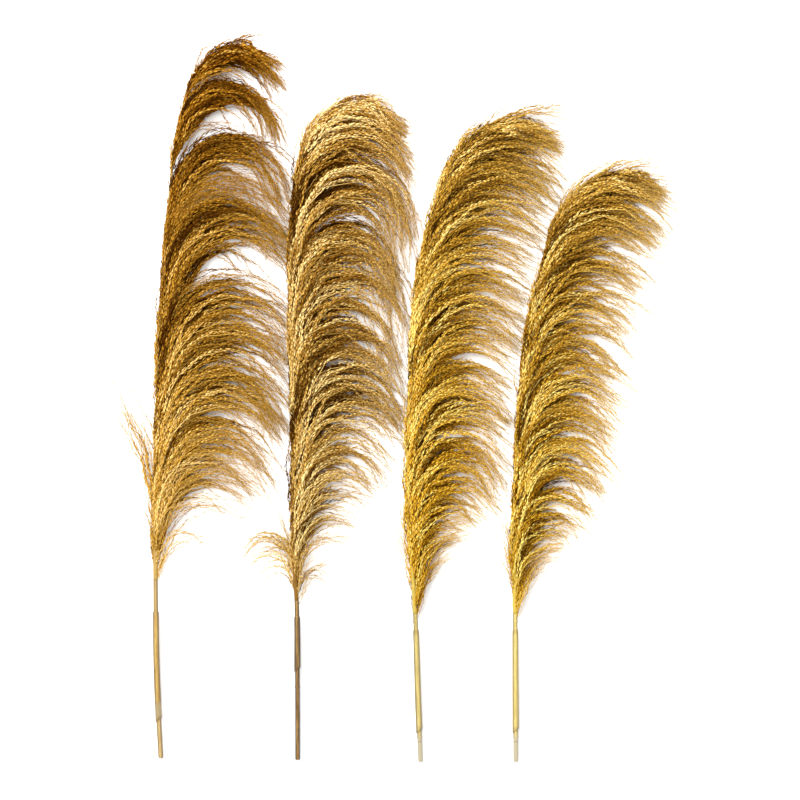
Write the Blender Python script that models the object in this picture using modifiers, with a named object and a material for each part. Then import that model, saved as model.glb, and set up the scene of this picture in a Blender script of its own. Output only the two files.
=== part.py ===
"""A bunch of four pampas grass plumes, dried and lying side by side on a flat surface.

Every plume sweeps to one side: its strands leave the axis upwards, bend over and droop.
+Y runs from the cut feet to the plumes' heads, +X is the side that the strands fall to, +Z is up.
The origin is at the middle of the bunch's box, on the surface that it lies on. Lengths are in metres.
"""
import math
from collections import namedtuple

import bmesh
import bpy
import numpy as np

# Colour and roughness of the bare culm and of the leaf sheath, and roughness of the plumage
CULM_FINISH = ((0.62, 0.47, 0.22), 0.45)
SHEATH_FINISH = ((0.68, 0.55, 0.30), 0.5)
PLUMAGE_ROUGHNESS = 0.8

# Sizes that all plumes share
CULM_RADIUS = 0.0040
CULM_TOP_SHARE = 0.94
CULM_TAPER_START = 0.7
CULM_NODE_SWELL = 0.0005
CULM_NODE_LENGTH = 0.005
SHEATH_GAP = 0.00035
SHEATH_WALL = 0.0007
SHEATH_SLANT = 0.004
SHEATH_ROWS = 5
AXIS_RADIUS = 0.0068
AXIS_TIP_RADIUS = 0.0010
AXIS_TAPER_POWER = 2.2
AXIS_SWELL_LENGTH = 0.12
AXIS_RISE_LENGTH = 1.3
AXIS_POINTS = 16
AXIS_BEND_SHARE = 0.5
STALK_RADIUS = 0.0020
STALK_FOOT = 0.003
PIECE_GAP = 0.0004
STALK_CLEARANCE = 0.0012
LOCK_STEPS = (0.0, 0.10, 0.28, 0.50, 0.75, 1.0)
LOCK_RADII = (0.0014, 0.0032, 0.0102, 0.0120, 0.0085, 0.0006)
LOCK_SPACING = 0.030
LOCK_INSET = 0.007
LOCK_TIP_SHARE = 0.955
LOCK_SETTLE = 0.35
LOCK_SETTLE_POWER = 0.8
LAYER_LIFT = 0.014
LOCK_SINK = 0.016
LOCK_SINK_START = 0.4
LAYER_ORDER = (0, 2, 1)
LEFT_LOCKS = 3
HEAD_HEIGHT = 0.027
TIP_HEIGHT = 0.020
START_ANGLES = (4.0, 4.0, 18.0, 22.0)
START_PLACES = (0.0, 0.6, 0.85, 1.0)
LEFT_ANGLE = 8.0
LEFT_LOCK_SHARE = 0.35
TUFT_REACH = 0.08
TUFT_DROOP = 10.0
TUFT_HALF = 0.045
ROUND_SIDES = 8
STEM_FINENESS = 2
AXIS_FINENESS = 1
LOCK_FINENESS = 0
PATH_STEPS = 160
MERGE_DISTANCE = 0.00001

# The panicle's length is counted from 0 at its base to 1 at its tip. These are the places along it
# where each plume's strand length and the heading of its strand tips are given. Inside one tuft the
# strands above its middle reach further and droop more than the strands below it.
PLACES = (0.0, 0.1, 0.2, 0.35, 0.5, 0.65, 0.8, 0.9, 1.0)

# foot: place of the cut end; spine: axis points across and along from the foot; collar: where the
# panicle begins along Y; reach and droop: strand length and tip heading in degrees at PLACES;
# tufts: first and last strand root of each main branch; sheath: its lower edge, mouth and blade tip;
# nodes: places of the culm's swellings; colour: the plumage's colour;
# left: the thin branch that falls to the other side, where the plume has one
Plume = namedtuple("Plume", "foot spine collar reach droop tufts sheath nodes colour left")

# A branch to the other side: its first and last root, with the reach and droop of the locks there
Left = namedtuple("Left", "places reach droop")

SPINE_A = ((0, 0), (-0.003, 0.062), (-0.006, 0.150), (-0.007, 0.294), (-0.008, 0.390), (-0.006, 0.520),
           (-0.001, 0.650), (0.006, 0.780), (0.015, 0.915), (0.031, 1.040), (0.054, 1.118), (0.088, 1.163),
           (0.128, 1.178))
SPINE_B = ((0, 0), (0, 0.130), (-0.001, 0.264), (-0.006, 0.350), (-0.007, 0.480), (-0.009, 0.620),
           (-0.011, 0.760), (-0.010, 0.880), (0, 0.975), (0.022, 1.040), (0.058, 1.072), (0.104, 1.086))
SPINE_C = ((0, 0), (-0.004, 0.100), (-0.009, 0.245), (-0.013, 0.310), (-0.020, 0.390), (-0.021, 0.490),
           (-0.019, 0.600), (-0.014, 0.700), (-0.003, 0.800), (0.014, 0.885), (0.036, 0.955), (0.066, 1.010),
           (0.104, 1.042), (0.146, 1.055))
SPINE_D = ((0, 0), (-0.001, 0.120), (-0.002, 0.245), (-0.004, 0.360), (-0.002, 0.453), (0.003, 0.555),
           (0.011, 0.647), (0.024, 0.739), (0.041, 0.817), (0.062, 0.881), (0.091, 0.930), (0.128, 0.959),
           (0.168, 0.970))
REACH_A = (0.150, 0.240, 0.310, 0.300, 0.304, 0.310, 0.232, 0.172, 0.065)
REACH_B = (0.100, 0.155, 0.240, 0.280, 0.320, 0.345, 0.242, 0.165, 0.080)
REACH_C = (0.105, 0.165, 0.238, 0.258, 0.266, 0.284, 0.240, 0.178, 0.085)
REACH_D = (0.097, 0.152, 0.220, 0.238, 0.246, 0.262, 0.222, 0.165, 0.078)
DROOP_A = (110, 145, 150, 135, 138, 157, 160, 148, 120)
DROOP_B = (95, 122, 140, 158, 174, 184, 146, 126, 150)
DROOP_C = (45, 126, 146, 132, 123, 126, 131, 116, 108)
TUFTS_A = ((0.00, 0.05), (0.07, 0.14), (0.16, 0.26), (0.28, 0.33), (0.35, 0.39), (0.445, 0.555),
           (0.62, 0.68), (0.76, 0.83), (0.875, 0.925))
TUFTS_B = ((0.00, 0.05), (0.07, 0.12), (0.14, 0.20), (0.22, 0.32), (0.34, 0.425), (0.455, 0.51),
           (0.525, 0.578), (0.605, 0.635), (0.66, 0.705), (0.74, 0.86))
TUFTS_C = ((0.00, 0.05), (0.08, 0.15), (0.17, 0.24), (0.26, 0.31), (0.33, 0.375), (0.395, 0.46),
           (0.48, 0.56), (0.58, 0.635), (0.665, 0.73), (0.75, 0.81), (0.84, 0.885))

PLUMES = (
    Plume((-0.3751, -0.5863), SPINE_A, 0.294, REACH_A, DROOP_A, TUFTS_A, (0.064, 0.241, 0.244), (0.090,),
          (0.49, 0.33, 0.11), Left((0.10, 0.14), (0.150, 0.190), (34, 44))),
    Plume((-0.1494, -0.5893), SPINE_B, 0.264, REACH_B, DROOP_B, TUFTS_B, (0.150, 0.236, 0.240), (0.120,),
          (0.44, 0.32, 0.14), Left((0.00, 0.07), (0.075, 0.160), (130, 142))),
    Plume((0.0534, -0.5923), SPINE_C, 0.245, REACH_C, DROOP_C, TUFTS_C, (0.052, 0.215, 0.225), (0.040, 0.232),
          (0.52, 0.37, 0.13), None),
    Plume((0.2106, -0.5923), SPINE_D, 0.245, REACH_D, DROOP_C, TUFTS_C, (0.052, 0.215, 0.225), (0.040, 0.232),
          (0.53, 0.38, 0.13), None),
)


def smooth_curve(points, steps=PATH_STEPS):
    """A smooth curve through the points, and the length along it at each step."""
    knots = np.array(points, float)
    along = np.r_[0, np.cumsum(np.linalg.norm(np.diff(knots, axis=0), axis=1))]
    slope = np.gradient(knots, along, axis=0)
    at = np.linspace(0, along[-1], steps)
    left = np.clip(np.searchsorted(along, at, side="right") - 1, 0, len(along) - 2)
    span = (along[left + 1] - along[left])[:, None]
    t = (at[:, None] - along[left][:, None]) / span
    curve = ((2 * t**3 - 3 * t**2 + 1) * knots[left] + (t**3 - 2 * t**2 + t) * span * slope[left]
             + (3 * t**2 - 2 * t**3) * knots[left + 1] + (t**3 - t**2) * span * slope[left + 1])
    return curve, np.r_[0, np.cumsum(np.linalg.norm(np.diff(curve, axis=0), axis=1))]


class Panicle:
    """One plume's axis and the rule that its strands follow."""

    def __init__(self, plume):
        self.plume = plume
        self.line, self.length = smooth_curve(plume.spine)
        self.start = float(np.interp(plume.collar, self.line[:, 1], self.length))
        self.heading = np.unwrap(np.arctan2(*np.gradient(self.line, self.length, axis=0).T))

    def at(self, place):
        """Length along the axis at a place from 0, the panicle's base, to 1, its tip."""
        return self.start + place * (self.length[-1] - self.start)

    def place(self, length):
        """Place from 0 to 1 of a length along the axis."""
        return (length - self.start) / (self.length[-1] - self.start)

    def point(self, length):
        """Axis point at a length along it, across and along from the foot."""
        return np.array([np.interp(length, self.length, self.line[:, axis]) for axis in (0, 1)])

    def height(self, length):
        """The axis lies on its foot and rises to the middle of the head, then sinks to the tip."""
        rest = CULM_RADIUS
        rise = np.interp(length, (0, self.start * AXIS_RISE_LENGTH), (0, 1))
        sink = np.interp(length, (self.at(0.5), self.at(1.0)), (0, 1))
        return rest + (HEAD_HEIGHT - rest) * rise - (HEAD_HEIGHT - TIP_HEIGHT) * sink

    def radius(self, length):
        """The axis swells above the panicle's base, where the branches press on it, and tapers to the tip."""
        grown = np.clip((length - self.start) / AXIS_SWELL_LENGTH, 0, 1)
        place = np.clip(self.place(length), 0, 1)
        swell = CULM_RADIUS + (AXIS_RADIUS - CULM_RADIUS) * grown
        return swell + (AXIS_TIP_RADIUS - AXIS_RADIUS) * place**AXIS_TAPER_POWER

    def strand(self, place, side):
        """Plan view of a strand on the side that the plume falls to; side is -1 to 1 across a wide tuft."""
        leaving = float(np.interp(place, START_PLACES, START_ANGLES))
        reach = np.interp(place, PLACES, self.plume.reach) * (1 + TUFT_REACH * side)
        droop = np.interp(place, PLACES, self.plume.droop) + TUFT_DROOP * side
        return self.bent(place, reach, leaving, droop)

    def left_strand(self, place, _side):
        """Plan view of a strand of the branch that falls to the other side."""
        left = self.plume.left
        return self.bent(place, np.interp(place, left.places, left.reach), -LEFT_ANGLE,
                         -np.interp(place, left.places, left.droop))

    def bent(self, place, reach, leaving, droop):
        """A path of a given reach that leaves the axis at one angle and whose heading eases to the droop."""
        root = self.at(place)
        first = float(np.interp(root, self.length, self.heading)) + math.radians(leaving)
        last = math.radians(droop)
        u = (np.arange(PATH_STEPS) + 0.5) / PATH_STEPS
        angle = first + (last - first) * u * u * (3 - 2 * u)
        step = reach / PATH_STEPS * np.stack([np.sin(angle), np.cos(angle)], axis=1)
        return self.point(root) + np.vstack([np.zeros(2), np.cumsum(step, axis=0)])

    def room(self, path):
        """Free width between each point and the axis' side, seen from above."""
        gap = np.linalg.norm(path[:, None] - self.line[None], axis=2)
        return gap.min(axis=1) - self.radius(self.length[gap.argmin(axis=1)]) - PIECE_GAP

    def free_part(self, path):
        """The part of a strand that is clear of the axis, from its stalk to near its tip."""
        first = int(np.argmax(self.room(path) >= STALK_CLEARANCE + STALK_RADIUS))
        return path[first:round(LOCK_TIP_SHARE * len(path))]

    def placed(self, points):
        """Points of the plume moved to its foot's place in the bunch's own frame."""
        return np.array(points, float) + (*self.plume.foot, 0.0)


def material(name, colour, roughness):
    """A plain dry plant surface."""
    made = bpy.data.materials.new(name)
    made.use_nodes = True
    shader = made.node_tree.nodes["Principled BSDF"]
    shader.inputs["Base Color"].default_value = (*colour, 1.0)
    shader.inputs["Roughness"].default_value = roughness
    shader.inputs["Metallic"].default_value = 0.0
    return made


def tube(name, points, radii, resolution):
    """A closed tube of changing radius along points, as a mesh object that is in no collection yet."""
    curve = bpy.data.curves.new(name, "CURVE")
    curve.dimensions = "3D"
    curve.twist_mode = "Z_UP"
    curve.bevel_depth = 1.0
    curve.bevel_resolution = resolution
    curve.use_fill_caps = True
    spline = curve.splines.new("POLY")
    spline.points.add(len(points) - 1)
    for control, place, radius in zip(spline.points, points, radii):
        control.co = (*place, 1.0)
        control.radius = radius
    guide = bpy.data.objects.new(name, curve)
    bpy.context.scene.collection.objects.link(guide)
    mesh = bpy.data.meshes.new_from_object(guide.evaluated_get(bpy.context.evaluated_depsgraph_get()))
    bpy.data.objects.remove(guide)
    form = bmesh.new()
    form.from_mesh(mesh)
    bmesh.ops.remove_doubles(form, verts=form.verts, dist=MERGE_DISTANCE)
    bmesh.ops.recalc_face_normals(form, faces=form.faces)
    form.to_mesh(mesh)
    form.free()
    return bpy.data.objects.new(name, mesh)


def keep(part, parts, finish):
    """Put a finished part in the bunch's collection with its material and smooth shading."""
    parts.objects.link(part)
    part.data.materials.clear()
    part.data.materials.append(finish)
    part.data.shade_smooth()
    return part


def fused(name, pieces):
    """Join overlapping closed pieces into one closed body."""
    for piece in pieces:
        bpy.context.scene.collection.objects.link(piece)
    body = pieces[0]
    for piece in pieces[1:]:
        join = body.modifiers.new("join", "BOOLEAN")
        join.operation = "UNION"
        join.solver = "EXACT"
        join.object = piece
    mesh = bpy.data.meshes.new_from_object(body.evaluated_get(bpy.context.evaluated_depsgraph_get()))
    for piece in pieces:
        bpy.data.objects.remove(piece)
    return bpy.data.objects.new(name, mesh)


def stem(panicle, name):
    """The bare culm from the cut foot to the panicle's base, with a low swelling at each node."""
    rings = {0.0: CULM_RADIUS, panicle.start * CULM_TAPER_START: CULM_RADIUS}
    rings[panicle.start - PIECE_GAP] = CULM_RADIUS * CULM_TOP_SHARE
    for node in panicle.plume.nodes:
        rings[node - CULM_NODE_LENGTH] = CULM_RADIUS
        rings[node] = CULM_RADIUS + CULM_NODE_SWELL
        rings[node + CULM_NODE_LENGTH] = CULM_RADIUS
    lengths = sorted(rings)
    points = [(*panicle.point(length), panicle.height(length)) for length in lengths]
    return tube(name, panicle.placed(points), [rings[length] for length in lengths], STEM_FINENESS)


def sheath(panicle, name):
    """The leaf sheath: a thin tube round the culm with a slanted lower edge and a pointed mouth."""
    low, mouth, tip = panicle.plume.sheath
    form = bmesh.new()
    grid = []
    for row in range(SHEATH_ROWS + 1):
        ring = []
        for side in range(ROUND_SIDES):
            angle = 2 * math.pi * side / ROUND_SIDES
            upper = mouth + (tip - mouth) * max(0.0, math.sin(angle))
            lower = low + SHEATH_SLANT * math.cos(angle)
            length = lower + (upper - lower) * row / SHEATH_ROWS
            inner = (CULM_RADIUS + CULM_NODE_SWELL + SHEATH_GAP) / math.cos(math.pi / ROUND_SIDES)
            across, along = panicle.point(length)
            height = panicle.height(length) + inner * math.sin(angle)
            place = (across + inner * math.cos(angle), along, height)
            ring.append(form.verts.new(panicle.placed([place])[0]))
        grid.append(ring)
    for row in range(SHEATH_ROWS):
        for side in range(ROUND_SIDES):
            after = (side + 1) % ROUND_SIDES
            form.faces.new((grid[row][side], grid[row + 1][side], grid[row + 1][after], grid[row][after]))
    bmesh.ops.recalc_face_normals(form, faces=form.faces)
    mesh = bpy.data.meshes.new(name)
    form.to_mesh(mesh)
    form.free()
    part = bpy.data.objects.new(name, mesh)
    wall = part.modifiers.new("wall", "SOLIDIFY")
    wall.thickness = SHEATH_WALL
    wall.offset = 1.0
    wall.use_even_offset = True
    return part


def axis(panicle, name):
    """The panicle's main axis with the branch feet that press on it, in shorter steps where it bends."""
    kept = panicle.length >= panicle.start
    along = panicle.place(panicle.length[kept])
    turn = np.r_[0, np.cumsum(np.abs(np.diff(panicle.heading[kept])))]
    share = (1 - AXIS_BEND_SHARE) * along + AXIS_BEND_SHARE * turn / turn[-1]
    lengths = np.interp(np.linspace(0, share[-1], AXIS_POINTS), share, panicle.length[kept] + PIECE_GAP)
    lengths = np.minimum(lengths, panicle.length[-1])
    points = [(*panicle.point(length), panicle.height(length)) for length in lengths]
    return tube(name, panicle.placed(points), panicle.radius(lengths), AXIS_FINENESS)


def lock(panicle, path, root_height, layer, share, name):
    """One lock of strands: thin where it leaves its stalk, full over its bend and pointed at its tip."""
    steps = np.array(LOCK_STEPS)
    at = np.round(steps * (len(path) - 1)).astype(int)
    half = (at[:-1] + at[1:]) // 2
    room = panicle.room(path)
    free = [room[low:high + 1].min() for low, high in zip(np.r_[0, half], np.r_[half, at[-1]])]
    radii = np.minimum(np.array(LOCK_RADII) * share, free)
    radii[0] = LOCK_RADII[0]
    plan = path[at]
    settle = np.clip(steps / LOCK_SETTLE, 0, 1) ** LOCK_SETTLE_POWER
    sink = LOCK_SINK * np.clip((steps - LOCK_SINK_START) / (1 - LOCK_SINK_START), 0, 1)
    raised = root_height + LAYER_LIFT * (layer - 1) - sink
    height = root_height * (1 - settle) + (raised if layer else radii) * settle
    return tube(name, panicle.placed(np.column_stack([plan, height])), radii, LOCK_FINENESS)


def tuft(panicle, places, strand, share, layers, name):
    """A main branch: its stalk runs up along the axis and gives off locks, all fused into one body."""
    sides = np.clip((places - places.mean()) / TUFT_HALF, -1, 1)
    paths = [panicle.free_part(strand(place, side)) for place, side in zip(places, sides)]
    heights = [panicle.height(panicle.at(place)) for place in places]
    points = [np.array((*path[0], height)) for path, height in zip(paths, heights)]
    down = points[0] - points[1]
    points = [points[0] + down / np.linalg.norm(down) * STALK_FOOT] + points
    pieces = [tube(name, panicle.placed(points), [STALK_RADIUS] * len(points), AXIS_FINENESS)]
    for number, (path, height, layer) in enumerate(zip(paths, heights, layers)):
        pieces.append(lock(panicle, path, height, layer, share, f"{name}_lock_{number}"))
    return fused(name, pieces)


def build():
    """Make every part of the four plumes."""
    for old in list(bpy.data.objects):
        bpy.data.objects.remove(old)
    parts = bpy.data.collections.new("pampas_grass_bunch")
    bpy.context.scene.collection.children.link(parts)
    for number, plume in enumerate(PLUMES, start=1):
        panicle = Panicle(plume)
        straw = material(f"dry_culm_{number}", *CULM_FINISH)
        leaf = material(f"dry_sheath_{number}", *SHEATH_FINISH)
        plumage = material(f"dry_plume_{number}", plume.colour, PLUMAGE_ROUGHNESS)
        keep(stem(panicle, f"stem_{number}"), parts, straw)
        keep(sheath(panicle, f"sheath_{number}"), parts, leaf)
        keep(axis(panicle, f"axis_{number}"), parts, plumage)
        index = 0
        for order, (first, last) in enumerate(plume.tufts, start=1):
            roots = np.array([panicle.at(first) + LOCK_INSET, panicle.at(last) - LOCK_INSET])
            count = max(2, round((roots[1] - roots[0]) / LOCK_SPACING) + 1)
            places = np.linspace(*panicle.place(roots), count)
            layers = [LAYER_ORDER[(index + lock_number) % len(LAYER_ORDER)] for lock_number in range(count)]
            branch = tuft(panicle, places, panicle.strand, 1.0, layers, f"tuft_{number}_{order:02d}")
            keep(branch, parts, plumage)
            index += count
        if plume.left:
            places = np.linspace(*plume.left.places, LEFT_LOCKS)
            layers = [0] * LEFT_LOCKS
            name = f"tuft_{number}_left"
            keep(tuft(panicle, places, panicle.left_strand, LEFT_LOCK_SHARE, layers, name), parts, plumage)


build()
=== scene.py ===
"""A bunch of four dried pampas grass plumes, dressed with their strands and spikelets.

The plumes lie side by side on a pale surface and the camera looks straight down on them. +Y runs from
the cut feet to the heads, +X is the side that the strands fall to and +Z is up. Lengths are in metres
and angles in degrees. A place is a share of a panicle's axis, from 0 at its base to 1 at its tip. A
curve is a row of pairs of place and value, which straight lines join.
"""
import logging
from dataclasses import dataclass, field
from enum import Enum

import bpy
import numpy as np
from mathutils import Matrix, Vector


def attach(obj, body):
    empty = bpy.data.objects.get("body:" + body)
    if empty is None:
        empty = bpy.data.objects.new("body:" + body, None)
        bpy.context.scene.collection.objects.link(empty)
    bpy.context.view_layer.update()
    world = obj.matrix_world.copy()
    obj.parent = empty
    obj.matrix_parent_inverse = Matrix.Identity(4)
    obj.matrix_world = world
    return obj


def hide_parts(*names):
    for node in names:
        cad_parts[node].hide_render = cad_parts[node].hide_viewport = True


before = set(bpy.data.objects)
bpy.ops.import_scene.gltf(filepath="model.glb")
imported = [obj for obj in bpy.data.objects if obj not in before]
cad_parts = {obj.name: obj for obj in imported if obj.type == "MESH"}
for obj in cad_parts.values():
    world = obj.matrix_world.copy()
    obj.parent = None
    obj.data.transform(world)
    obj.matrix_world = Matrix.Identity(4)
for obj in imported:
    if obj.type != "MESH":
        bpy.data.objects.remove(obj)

log = logging.getLogger("pampas")

# The rule that the strands and the solids of the frame share
CULM_RADIUS = 0.0040
CULM_TOP_SHARE = 0.94
CULM_TAPER_START = 0.7
AXIS_RADIUS = 0.0068
AXIS_TIP_RADIUS = 0.0010
AXIS_TAPER_POWER = 2.2
AXIS_SWELL_LENGTH = 0.12
AXIS_RISE_LENGTH = 1.3
AXIS_POINTS = 160
HEAD_HEIGHT = 0.027
TIP_HEIGHT = 0.020
START_ANGLES = ((0.0, 4.0), (0.6, 4.0), (0.85, 18.0), (1.0, 22.0))
PLACES = (0.0, 0.1, 0.2, 0.35, 0.5, 0.65, 0.8, 0.9, 1.0)
TUFT_REACH = 0.08
TUFT_DROOP = 10.0
TUFT_HALF = 0.045

# Small clearances: between the culm and the axis, and the height under which points ease to the floor
PIECE_GAP = 0.0001
FLOOR_EASE = 0.0016

# A strand's line: its run beside the axis, its bend, its slow waves, the way a lock draws together, the
# ring round the axis that strands root in, and their girth by place
PATH_STEPS = 28
RUN_BEND = 0.5
RUN_DROP = 0.34
RUN_GAIN = 0.34
WANDER = 0.0024
WANDER_LENGTH = (0.06, 0.12)
WANDER_GROWTH = 0.6
SECOND_WAVE_PACE = 1.7
HEIGHT_WAVE_PACE = 1.2
HEIGHT_WAVE_SHARE = 0.6
ASIDE_AT_ROOT = 0.25
ASIDE_SPAN = 0.92
GATHER_END = 0.83
RISE_END = 0.4
SINK_START = 0.35
ROOT_RING = 0.8
ROOT_FILL = (0.1, 1.0)
BARE_PLACE = 0.09
BARE_TURNS = (-0.05, 0.95)
GIRTHS = ((0.0, 0.52), (0.04, 0.66), (0.16, 1.0))

# A strand's core, and the wads of short hairs low under the strands, whose dark tone is painted shade
CORE_RINGS = 9
CORE_RADIUS = 0.00100
CORE_SIDES = 3
CORE_TAPER = 0.66
CORE_TONE = -0.12
UNDER_EVERY = 2
UNDER_SHARE = 0.72
UNDER_FIRST_STEP = 3
UNDER_RADIUS = 0.0046
UNDER_SIDES = 6
UNDER_FLATNESS = 0.4
UNDER_LIFT = 0.0085
UNDER_REST = 0.003
UNDER_END = 0.08
UNDER_POWER = 0.7
UNDER_SHADE_TONE = 0.14

# The spikelets: their husks' size, their spiral round the strand and the fast wave that they follow
SPIKELET_PITCH = 0.0027
SPIKELET_LENGTH = 0.0118
SPIKELET_WIDTH = 0.0030
SPIKELET_DEPTH = 0.0015
SPIKELET_SPLAY = (4.0, 3.0)
SPIKELET_SIZES = (0.78, 1.18)
SHOULDER_SHARE = 0.38
SHORTER_TO_TIP = 0.35
SLIMMER_TO_TIP = 0.55
ROOT_SIZE = 0.55
ROOT_GROWTH = 4
HUSK_JITTER = (0.1, 0.9)
BUNDLE_RADIUS = 0.0009
SPIRAL = 2.4
SPIRAL_SPREAD = 0.3
CRINKLE = 0.0005
CRINKLE_LENGTH = (0.013, 0.020)
ANY_TURN = 6.3

# Tones run from 0, dark, to 1, pale. A husk's are those of its foot, its point and its two shoulders, a
# painted shade at the foot and a painted highlight at the point, which make beads along the rope
TIP_TONE = 0.64
TIP_TONE_START = 0.4
HUSK_SHADE_AND_HIGHLIGHT = (-0.38, 0.20, 0.04, 0.04)
HUSK_TONE_SPREAD = 0.06

# Patterns, as their marks in a metre: a husk's mottle is 2.4 mm wide, a culm's fibres 0.7 mm wide and
# 38 mm long, its patches 2.6 mm wide and 140 mm long, and the ground's clouds 330 mm wide
HUSK_MOTTLE = 420.0
CULM_FIBRES = (1400.0, 26.0, 1400.0)
CULM_PATCHES = (380.0, 7.0, 380.0)
GROUND_CLOUDS = 3.0


class Slot(Enum):
    """The record's material slots."""

    CULM = "culm"
    SHEATH = "sheath"
    AMBER = "plumage_amber"
    TAUPE = "plumage_taupe"
    GOLD = "plumage_gold"
    STRAW = "plumage_straw"


def linear(colour: str) -> tuple[float, float, float, float]:
    """Turn an sRGB hex colour into linear values.

    Args:
        colour: six hex digits with a leading mark.

    Returns:
        Red, green, blue and an alpha of 1.
    """
    parts = [int(colour[at:at + 2], 16) / 255 for at in (1, 3, 5)]
    return (*[part / 12.92 if part <= 0.04045 else ((part + 0.055) / 1.055) ** 2.4 for part in parts], 1.0)


def add_node(tree: bpy.types.NodeTree, kind: str, inputs: dict | None = None, stops: tuple = (),
             **settings) -> bpy.types.Node:
    """Add one node to a tree.

    Args:
        tree: the tree that takes the node.
        kind: the node's type name.
        inputs: values or sockets for its inputs, by name or index.
        stops: pairs of place and hex colour, in order, where the node is a colour ramp.
        **settings: values of the node's own properties.

    Returns:
        The node.
    """
    node = tree.nodes.new(kind)
    for key, value in settings.items():
        setattr(node, key, value)
    for key, value in (inputs or {}).items():
        if isinstance(value, bpy.types.NodeSocket):
            tree.links.new(value, node.inputs[key])
        else:
            node.inputs[key].default_value = value
    marks = node.color_ramp.elements if stops else []
    while len(marks) < len(stops):
        marks.new(0.5)
    for mark, (place, colour) in zip(marks, stops):
        mark.position = place
        mark.color = linear(colour)
    return node


def add_material(name: str, roughness: float,
                 gloss: float = 0.5) -> tuple[bpy.types.Material, bpy.types.Node]:
    """Add a material with one Principled node.

    Args:
        name: the material's name.
        roughness: the surface's roughness.
        gloss: its specular level.

    Returns:
        The material and its Principled node.
    """
    material = bpy.data.materials.new(name)
    material.use_nodes = True
    shader = material.node_tree.nodes["Principled BSDF"]
    shader.inputs["Roughness"].default_value = roughness
    shader.inputs["Specular IOR Level"].default_value = gloss
    return material, shader


@dataclass(frozen=True)
class Plumage:
    """Dry pampas strands with their husks: a dull silky straw whose tone differs from strand to strand.

    low and high are the colours of dark to pale strands at the foot and at the top of the plume.
    """

    name: str
    low: tuple
    high: tuple
    tips: str
    roughness: float = 0.52
    stops: tuple = (0.0, 0.3, 0.62, 1.0)

    def make(self) -> bpy.types.Material:
        """Mix the low and high ramps by height along the plume, pale the strand tips and mottle the husks.

        Returns:
            The material.
        """
        material, shader = add_material(self.name, self.roughness, gloss=0.03)
        tree = material.node_tree
        tone, along, rise = (add_node(tree, "ShaderNodeAttribute", attribute_name=layer).outputs["Fac"]
                             for layer in ("tone", "along", "rise"))
        low, high = (add_node(tree, "ShaderNodeValToRGB", {"Fac": tone},
                              stops=tuple(zip(self.stops, colours))).outputs["Color"]
                     for colours in (self.low, self.high))
        body = add_node(tree, "ShaderNodeMix", {"Factor": rise, 6: low, 7: high}, data_type="RGBA")
        pale = add_node(tree, "ShaderNodeMapRange", {"Value": along, "From Min": 0.62, "From Max": 1.0,
                                                     "To Min": 0.0, "To Max": 0.35})
        tipped = add_node(tree, "ShaderNodeMix", {"Factor": pale.outputs["Result"], 6: body.outputs[2],
                                                  7: linear(self.tips)}, data_type="RGBA")
        place = add_node(tree, "ShaderNodeTexCoord").outputs["Object"]
        husk = add_node(tree, "ShaderNodeTexNoise", {"Vector": place, "Scale": HUSK_MOTTLE, "Detail": 2.0})
        value = add_node(tree, "ShaderNodeMapRange", {"Value": husk.outputs["Fac"], "From Min": 0.3,
                                                      "From Max": 0.7, "To Min": 0.90, "To Max": 1.10})
        toned = add_node(tree, "ShaderNodeHueSaturation", {"Color": tipped.outputs[2],
                                                           "Value": value.outputs["Result"]})
        bump = add_node(tree, "ShaderNodeBump", {"Height": husk.outputs["Fac"], "Strength": 0.2,
                                                 "Distance": 0.0006})
        tree.links.new(toned.outputs["Color"], shader.inputs["Base Color"])
        tree.links.new(bump.outputs["Normal"], shader.inputs["Normal"])
        return material


@dataclass(frozen=True)
class DryCulm:
    """Dry grass stem: smooth and slightly waxy straw with fine lengthwise fibres and darker scars.

    dark, middle and light are the straw's own colours and weathered and scar those of its marks. The side
    shade colour is painted shade that it takes towards its sides, where the round stem turns from the light.
    """

    name: str
    dark: str
    middle: str
    light: str
    weathered: str
    edge: str
    scar: str = "#5B431F"
    roughness: float = 0.36

    def make(self) -> bpy.types.Material:
        """Run fine streaks along the stem, darken its sides with painted shade, grey its weathered part and
        darken its scars.

        Returns:
            The material.
        """
        material, shader = add_material(self.name, self.roughness, gloss=0.45)
        tree = material.node_tree
        side_shade, worn, scar = (add_node(tree, "ShaderNodeAttribute", attribute_name=layer).outputs["Fac"]
                             for layer in ("side_shade", "worn", "scar"))
        place = add_node(tree, "ShaderNodeTexCoord").outputs["Object"]
        fine, broad = (add_node(tree, "ShaderNodeMapping", {"Vector": place, "Scale": scale}).outputs[0]
                       for scale in (CULM_FIBRES, CULM_PATCHES))
        fibre = add_node(tree, "ShaderNodeTexNoise", {"Vector": fine, "Scale": 1.0, "Detail": 4.0,
                                                      "Roughness": 0.6}).outputs["Fac"]
        patch = add_node(tree, "ShaderNodeTexNoise", {"Vector": broad, "Scale": 1.0, "Detail": 2.0})
        both = add_node(tree, "ShaderNodeMix", {"Factor": 0.45, 2: fibre, 3: patch.outputs["Fac"]},
                        data_type="FLOAT")
        straw = add_node(tree, "ShaderNodeValToRGB", {"Fac": both.outputs[0]},
                         stops=((0.40, self.dark), (0.5, self.middle), (0.60, self.light))).outputs["Color"]
        # Painted shade: the round stem's sides are mixed towards the darker side colour
        turned = add_node(tree, "ShaderNodeMapRange", {"Value": side_shade, "From Min": 0.3, "From Max": 0.8,
                                                       "To Min": 0.0, "To Max": 1.0}).outputs["Result"]
        for amount, colour in ((turned, self.edge), (worn, self.weathered), (scar, self.scar)):
            straw = add_node(tree, "ShaderNodeMix", {"Factor": amount, 6: straw, 7: linear(colour)},
                             data_type="RGBA").outputs[2]
        bump = add_node(tree, "ShaderNodeBump", {"Height": fibre, "Strength": 0.30, "Distance": 0.0004})
        tree.links.new(straw, shader.inputs["Base Color"])
        tree.links.new(bump.outputs["Normal"], shader.inputs["Normal"])
        return material


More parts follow.
